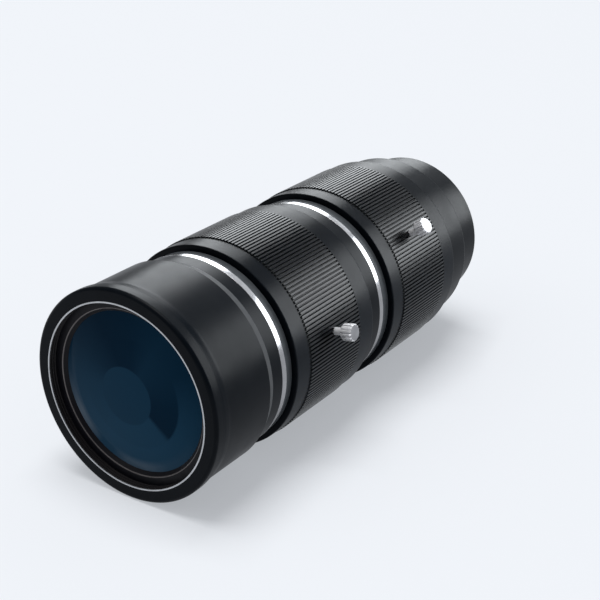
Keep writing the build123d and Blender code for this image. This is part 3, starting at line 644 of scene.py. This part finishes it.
def accent(name, start, body, node):
    """Bright trim ring with rounded edges, seated in its groove."""
    end = start + ACCENT_WIDTH
    bore = ACCENT_SEAT_RADIUS + SEAT_GAP
    piece = turned(name, [(bore, start), (BAND_RADIUS, start), (BAND_RADIUS, end), (bore, end)])
    round_edge(piece, BAND_RADIUS, start, width=0.12, segments=2)
    round_edge(piece, BAND_RADIUS, end, width=0.12, segments=2)
    finish_piece(piece, body, BRIGHT_TRIM, node, smooth=60)


accent("front_bright_ring", FRONT_ACCENT, "front_group", "front_accent_ring")
accent("rear_bright_ring", REAR_ACCENT, "barrel", "rear_accent_ring")

# Grip rings


def shape_ribs(piece, station, crest_radius):
    """Push the loop at a station out to the ribs' crests and in to their grooves."""
    points = len(RIB_PROFILE)
    step = 2 * math.pi / (RIB_COUNT * points)
    for share in sorted(set(RIB_PROFILE)):

        def on_level(corner):
            place = corner.co
            if abs(place.y - along(station)) > 0.01 * MM or from_axis(place) < RING_MIDDLE_RADIUS * MM:
                return False
            return RIB_PROFILE[round(math.atan2(place.z, place.x) / step) % points] == share

        pick(piece, "VERT", on_level)
        scale = (KNURL_ROOT_RADIUS + (crest_radius - KNURL_ROOT_RADIUS) * share) / RING_RADIUS
        bpy.ops.transform.resize(value=(scale, 1, scale), center_override=(0, along(station), 0))


def grip_ring(name, body, node, start, knurl_start, knurl_end, end):
    """Grip ring: smooth lip, straight ribs that stand proud of it, smooth tail, plain bore."""
    lip_stops = [(0.35, 0), (0.1, 0.1), (0, 0.35), (0, 0.4)]
    margin = 0.04
    step = 0.03
    front_ramp = 0.32
    rear_ramp = 0.5
    low_start = knurl_start + step
    full_start = knurl_start + front_ramp
    full_end = knurl_end - rear_ramp
    low_end = knurl_end - step
    low_radius = RING_RADIUS + margin
    knurl_stations = [
        knurl_start - margin, knurl_start, low_start, full_start,
        full_end, low_end, knurl_end, knurl_end + margin,
    ]
    piece = turned(
        name,
        [(RING_BORE_RADIUS, start)]
        + [(RING_RADIUS - drop, start + back) for drop, back in lip_stops]
        + [(RING_RADIUS, station) for station in knurl_stations]
        + [(RING_RADIUS - drop, end - back) for drop, back in reversed(lip_stops)]
        + [(RING_BORE_RADIUS, end)],
        RIB_COUNT * len(RIB_PROFILE),
    )
    shape_ribs(piece, low_start, low_radius)
    shape_ribs(piece, full_start, KNURL_TIP_RADIUS)
    shape_ribs(piece, full_end, KNURL_TIP_RADIUS)
    shape_ribs(piece, low_end, low_radius)
    bpy.ops.object.mode_set(mode="OBJECT")
    finish_piece(piece, body, BLACK_BARREL, node, smooth=38)
    second_finish(piece, BLACK_KNURL, knurl_start, knurl_end, RING_MIDDLE_RADIUS)
    return piece


focus_grip = grip_ring(
    "focus_grip", "focus_ring", "focus_ring", start=31.0, knurl_start=36.35, knurl_end=58.55, end=64.75,
)
iris_grip = grip_ring(
    "iris_grip", "iris_ring", "iris_ring", start=74.85, knurl_start=79.8, knurl_end=102.0, end=107.8,
)

# Fixed barrel

rear_accent_end = REAR_ACCENT + ACCENT_WIDTH
barrel = turned("barrel_shell", [
    (GUIDE_BORE_RADIUS, GUIDE_START), (GUIDE_RADIUS, GUIDE_START), (GUIDE_RADIUS, BEARING_START),
    (TUBE_RADIUS, BEARING_START), (TUBE_RADIUS, MIDDLE_BAND), (BAND_RADIUS, MIDDLE_BAND),
    (BAND_RADIUS, REAR_ACCENT), (ACCENT_SEAT_RADIUS, REAR_ACCENT), (ACCENT_SEAT_RADIUS, rear_accent_end),
    (COLLAR_RADIUS, rear_accent_end), (COLLAR_RADIUS, REAR_COLLAR_END), (TUBE_RADIUS, REAR_COLLAR_END),
    (TUBE_RADIUS, HOUSING_START), (REAR_THREAD_RADIUS, HOUSING_START), (REAR_THREAD_RADIUS, BARREL_END),
    (GUIDE_RADIUS, BARREL_END), (GUIDE_RADIUS, IRIS_SEAT), (GUIDE_BORE_RADIUS, IRIS_SEAT),
])
break_edges(barrel, width=TUBE_EDGE)
finish_piece(barrel, "barrel", BLACK_BARREL, "main_barrel")
# Painted light on the rear collar, which the iris ring's lip shades
second_finish(barrel, COLLAR_PAINTED_LIGHT, rear_accent_end, REAR_COLLAR_END)

housing_bore = REAR_THREAD_RADIUS + SEAT_GAP
flange_bore = FLANGE_RADIUS + SEAT_GAP
boss_bore = BOSS_RADIUS + SEAT_GAP
housing = turned("rear_shell", [
    (housing_bore, HOUSING_START),
    *soft_step((HOUSING_LIP_RADIUS, HOUSING_START), (HOUSING_RADIUS, HOUSING_LIP_END)),
    *soft_step((HOUSING_RADIUS, HOUSING_SLOPE), (HOUSING_END_RADIUS, HOUSING_SLOPE_END)),
    (HOUSING_END_RADIUS, BODY_LENGTH), (flange_bore, BODY_LENGTH), (flange_bore, FLANGE_START),
    (boss_bore, FLANGE_START), (boss_bore, BOSS_START), (CAVITY_RADIUS, BOSS_START),
    (CAVITY_RADIUS, CAVITY_START), (housing_bore, CAVITY_START),
])
round_edge(housing, HOUSING_END_RADIUS, BODY_LENGTH, width=0.7)
finish_piece(housing, "barrel", BLACK_BARREL, "rear_housing", smooth=40)

# Camera mount

mount_stops = [
    (MOUNT_BORE_RADIUS, BOSS_START), (BOSS_RADIUS, BOSS_START), (BOSS_RADIUS, FLANGE_START),
    (FLANGE_RADIUS, FLANGE_START), (FLANGE_RADIUS, BODY_LENGTH),
    (CAMERA_THREAD_ROOT, BODY_LENGTH), (CAMERA_THREAD_ROOT, BODY_LENGTH + CAMERA_THREAD_RELIEF),
]
for turn in range(4):
    start = BODY_LENGTH + CAMERA_THREAD_START + CAMERA_THREAD_PITCH * turn
    land = start + CAMERA_THREAD_FLANK
    mount_stops += [
        (CAMERA_THREAD_ROOT, start), (CAMERA_THREAD_CREST, land),
        (CAMERA_THREAD_CREST, land + CAMERA_THREAD_LAND),
        (CAMERA_THREAD_ROOT, start + CAMERA_THREAD_PITCH - CAMERA_THREAD_GROOVE),
    ]
mount_stops += [
    (CAMERA_THREAD_ROOT, MOUNT_END - MOUNT_EDGE), (CAMERA_THREAD_ROOT - MOUNT_EDGE, MOUNT_END),
    (MOUNT_FACE_RADIUS, MOUNT_END), (MOUNT_RECESS_RADIUS, MOUNT_END - MOUNT_EDGE),
    (MOUNT_BORE_RADIUS, MOUNT_END - MOUNT_EDGE),
]
mount = turned("camera_mount_thread", mount_stops)
break_edges(mount, width=0.04, angle=50)
finish_piece(mount, "barrel", BLACK_BARREL, "mount_ring", smooth=25)


def slotted_heads(name, body, node, radius, circle_radius):
    """Four slotted countersunk heads in the flange. One is shaped and the rest are its turned copies."""
    rise = 0.03
    slot_half_width = 0.2
    slot_depth = 0.5
    head_depth = 0.8
    piece = start_circle(
        name, 48, radius, fill_type="NGON", rotation=(-math.pi / 2, 0, 0),
        location=(circle_radius * MM, along(BODY_LENGTH) + rise * MM, 0),
    )
    for edge in (circle_radius - slot_half_width, circle_radius + slot_half_width):
        bpy.ops.mesh.select_all(action="SELECT")
        bpy.ops.mesh.bisect(plane_co=(edge * MM, 0, 0), plane_no=(1, 0, 0))
    pick(piece, "FACE", lambda face: abs(face.center.x - circle_radius * MM) < 0.05 * MM)
    bpy.ops.mesh.extrude_region_move(TRANSFORM_OT_translate={"value": (0, -slot_depth * MM, 0)})
    bpy.ops.mesh.select_mode(type="EDGE")
    bpy.ops.mesh.select_all(action="DESELECT")
    bpy.ops.mesh.select_non_manifold()
    bpy.ops.mesh.extrude_region_move(TRANSFORM_OT_translate={"value": (0, -head_depth * MM, 0)})
    bpy.ops.mesh.edge_face_add()
    bpy.ops.mesh.select_all(action="SELECT")
    bpy.ops.transform.rotate(value=math.radians(45), orient_axis="Y", center_override=(0, 0, 0))
    for quarter in range(3):
        bpy.ops.mesh.duplicate()
        bpy.ops.transform.rotate(value=math.radians(90), orient_axis="Y", center_override=(0, 0, 0))
    face_outward()
    break_edges(piece, width=0.05, angle=50)
    finish_piece(piece, body, PLAIN_STEEL, node)


slotted_heads("mount_screw_heads", "barrel", "mount_screws", radius=1.45, circle_radius=15.2)

# Thumbscrews


def thumbscrew(name, body, node, angle, station):
    """Fluted lock screw on a grip ring, shaped upright on the axis and then turned to its place."""
    flutes = 14
    points = 6
    shank_radius = 0.95
    head_radius = 2.15
    shank_start = 24.3
    head_start = 28.71
    head_shoulder = 29.0
    head_end = 31.71
    edge = 0.3
    face_radius = 1.5
    flute_radius = 2.0
    flute_share = 0.85
    piece = start_circle(name, flutes * points, shank_radius, location=(0, 0, shank_start * MM))
    bpy.ops.mesh.edge_face_add()
    last_radius = shank_radius
    last_height = shank_start
    for radius, height in (
        (shank_radius, head_start), (head_radius - edge, head_start), (head_radius, head_shoulder),
        (head_radius, head_end - edge), (head_radius - edge, head_end), (face_radius, head_end),
    ):
        rise = (height - last_height) * MM
        bpy.ops.mesh.extrude_region_move(TRANSFORM_OT_translate={"value": (0, 0, rise)})
        share = radius / last_radius
        bpy.ops.transform.resize(value=(share, share, 1), center_override=(0, 0, height * MM))
        last_radius = radius
        last_height = height
    step = 2 * math.pi / (flutes * points)

    def in_flute(corner):
        place = corner.co
        turn = round(math.atan2(place.y, place.x) / step) % points
        return math.hypot(place.x, place.y) > flute_radius * MM and turn in (0, 1, points - 1)

    pick(piece, "VERT", in_flute)
    bpy.ops.transform.resize(value=(flute_share, flute_share, 1), center_override=(0, 0, 0))
    face_outward()
    end_faces = [face.index for face in piece.data.polygons if face.center.z > (head_end - 0.01) * MM]
    piece.rotation_euler = (0, math.radians(90 - angle), 0)
    piece.location = (0, along(station), 0)
    bpy.ops.object.transform_apply(location=True, rotation=True, scale=True)
    finish_piece(piece, body, BRIGHT_SCREW, node, smooth=30)
    # The end faces take the darker metal, painted shade
    piece.data.materials.append(SCREW_END_PAINTED_SHADE)
    for index in end_faces:
        piece.data.polygons[index].material_index = 1


thumbscrew("focus_thumbscrew", "focus_lock_screw", "focus_lock_screw", angle=10.5, station=47.45)
thumbscrew("iris_thumbscrew", "iris_lock_screw", "iris_lock_screw", angle=35.1, station=90.9)

# CAD pieces that stay as they are

carried = {
    "front_cell": DULL_INSIDE,
    "second_element": INNER_GLASS,
    "front_spacer": DULL_INSIDE,
    "third_element": INNER_GLASS,
    "cell_retaining_ring": DULL_INSIDE,
    "guide_keys": MACHINED_BRASS,
    "focus_clip": PLAIN_STEEL,
    "iris_drive_pin": PLAIN_STEEL,
    "iris_base_plate": DULL_INSIDE,
    "iris_cam_ring": MACHINED_BRASS,
    "iris_cover_ring": DULL_INSIDE,
    "rear_cell": DULL_INSIDE,
    "fourth_element": INNER_GLASS,
    "rear_spacer": DULL_INSIDE,
    "fifth_element": INNER_GLASS,
    "rear_retaining_ring": DULL_INSIDE,
}
for number in range(8):
    carried[f"iris_blade_{number + 1}"] = BLUED_BLADES
for node_name, material in carried.items():
    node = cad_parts[node_name]
    node.data.materials.clear()
    node.data.materials.append(material)

# Studio: pale floor, soft lights, and a camera at the photograph's angle

FLOOR_SIZE = 30
FLOOR_HEIGHT = -KNURL_TIP_RADIUS * MM
FLOOR_COLOUR = (0.81, 0.83, 0.86, 1)
BACKDROP_COLOUR = (0.90, 0.935, 0.99, 1)
BACKDROP_SHARE = 0.42
SKY_COLOUR = (0.95, 0.97, 1.0, 1)
SKY_STRENGTH = 0.3
LAMP_COLOUR = (0.93, 0.97, 1.0)
LAMP_DISTANCE = 8
CAMERA_PLACE = (0.175435, -0.318818, 0.137843)
CAMERA_TILT = 24.05
CAMERA_TURN = 34.04
LENS_LENGTH = 77.715


def show_backdrop(tree, shader):
    """Mix the pale backdrop colour into what the camera, reflections and the glass see of the floor."""
    pale = add(tree, "ShaderNodeEmission")
    pale.inputs["Color"].default_value = BACKDROP_COLOUR
    rays = add(tree, "ShaderNodeLightPath")
    mix = add(tree, "ShaderNodeMixShader")
    seen = rays.outputs["Is Camera Ray"]
    for kind in ("Is Glossy Ray", "Is Transmission Ray"):
        either = add(tree, "ShaderNodeMath", operation="MAXIMUM")
        tree.links.new(seen, either.inputs[0])
        tree.links.new(rays.outputs[kind], either.inputs[1])
        seen = either.outputs["Value"]
    part = add(tree, "ShaderNodeMath", operation="MULTIPLY")
    part.inputs[1].default_value = BACKDROP_SHARE
    tree.links.new(seen, part.inputs[0])
    tree.links.new(part.outputs["Value"], mix.inputs["Fac"])
    tree.links.new(shader.outputs["BSDF"], mix.inputs[1])
    tree.links.new(pale.outputs["Emission"], mix.inputs[2])
    output = next(node for node in tree.nodes if node.type == "OUTPUT_MATERIAL")
    tree.links.new(mix.outputs["Shader"], output.inputs["Surface"])


def make_floor():
    """Plain pale floor under the lens."""
    bpy.ops.object.select_all(action="DESELECT")
    bpy.ops.mesh.primitive_plane_add(size=FLOOR_SIZE, location=(0, 0, FLOOR_HEIGHT))
    floor = bpy.context.object
    floor.name = "studio_floor"
    material, tree, shader = new_material("pale_floor")
    shader.inputs["Base Color"].default_value = FLOOR_COLOUR
    shader.inputs["Roughness"].default_value = 0.9
    shader.inputs["Specular IOR Level"].default_value = 0.1
    show_backdrop(tree, shader)
    floor.data.materials.append(material)
    return floor


def softbox(name, azimuth, elevation, angles, radiance):
    """Rectangular lamp that faces the lens. Azimuth 0 is behind the lens and 90 is on its +X side."""
    width, height = (2 * LAMP_DISTANCE * math.tan(math.radians(angle) / 2) for angle in angles)
    lamp = bpy.data.lights.new(name, "AREA")
    lamp.shape = "RECTANGLE"
    lamp.size = width
    lamp.size_y = height
    lamp.energy = radiance * math.pi * width * height
    holder = bpy.data.objects.new(name, lamp)
    bpy.context.scene.collection.objects.link(holder)
    turn = math.radians(azimuth)
    rise = math.radians(elevation)
    holder.location = (
        LAMP_DISTANCE * math.sin(turn) * math.cos(rise),
        LAMP_DISTANCE * math.cos(turn) * math.cos(rise) - BODY_LENGTH * MM / 2,
        LAMP_DISTANCE * math.sin(rise),
    )
    holder.rotation_euler = (math.pi / 2 - rise, 0, math.pi - turn)
    holder.visible_camera = False
    return holder


def lamp_group(name, members, state="EXCLUDE"):
    """Pieces that a lamp leaves out, or with INCLUDE the only ones that it lights."""
    group = bpy.data.collections.new(name)
    for member in members:
        group.objects.link(member)
    for member in group.collection_objects:
        member.light_linking.link_state = state
    return group


floor = make_floor()
grips = [focus_grip, iris_grip]
off_floor = lamp_group("kept_off_the_floor", [floor])
off_grips = lamp_group("kept_off_the_grip_rings", grips)
off_both = lamp_group("kept_off_floor_and_grip_rings", [floor] + grips)
grips_only = lamp_group("grip_rings_only", grips, "INCLUDE")

# Each lamp: azimuth, elevation, width and height as seen from the lens in degrees, and radiance
for lamp, group in (
    (softbox("key_light", -31, 26.5, (28, 31), 7.3), off_floor),
    (softbox("side_light", 35, 17.5, (30, 33), 9.0), off_floor),
    (softbox("high_light", -29, 35, (13, 14), 5.0), off_both),
    (softbox("back_light", 2, 47, (50, 26), 1.2), off_both),
    (softbox("strip_light", 27, 15, (11, 22), 4.5), off_floor),
    (softbox("weak_light", 2, 31, (16, 9), 1.8), off_floor),
    (softbox("grip_light", 51, 8, (16, 13), 15), grips_only),
):
    lamp.data.color = LAMP_COLOUR
    lamp.light_linking.receiver_collection = group
top_light = softbox("top_light", -105, 85, (33, 33), 7.6)
top_light.light_linking.receiver_collection = off_grips
softbox("front_light", -145, 45, (35, 35), 0.5)

world = bpy.data.worlds.new("studio")
bpy.context.scene.world = world
world.use_nodes = True
sky = next(node for node in world.node_tree.nodes if node.type == "BACKGROUND")
sky.inputs["Color"].default_value = SKY_COLOUR
sky.inputs["Strength"].default_value = SKY_STRENGTH

lens = bpy.data.cameras.new("photo_camera")
lens.sensor_width = 36
lens.lens = LENS_LENGTH
lens.clip_start = 0.01
camera = bpy.data.objects.new("photo_camera", lens)
bpy.context.scene.collection.objects.link(camera)
camera.location = CAMERA_PLACE
camera.rotation_euler = (math.radians(90 - CAMERA_TILT), 0, math.radians(CAMERA_TURN))
bpy.context.scene.camera = camera
bpy.context.scene.view_settings.view_transform = "Standard"
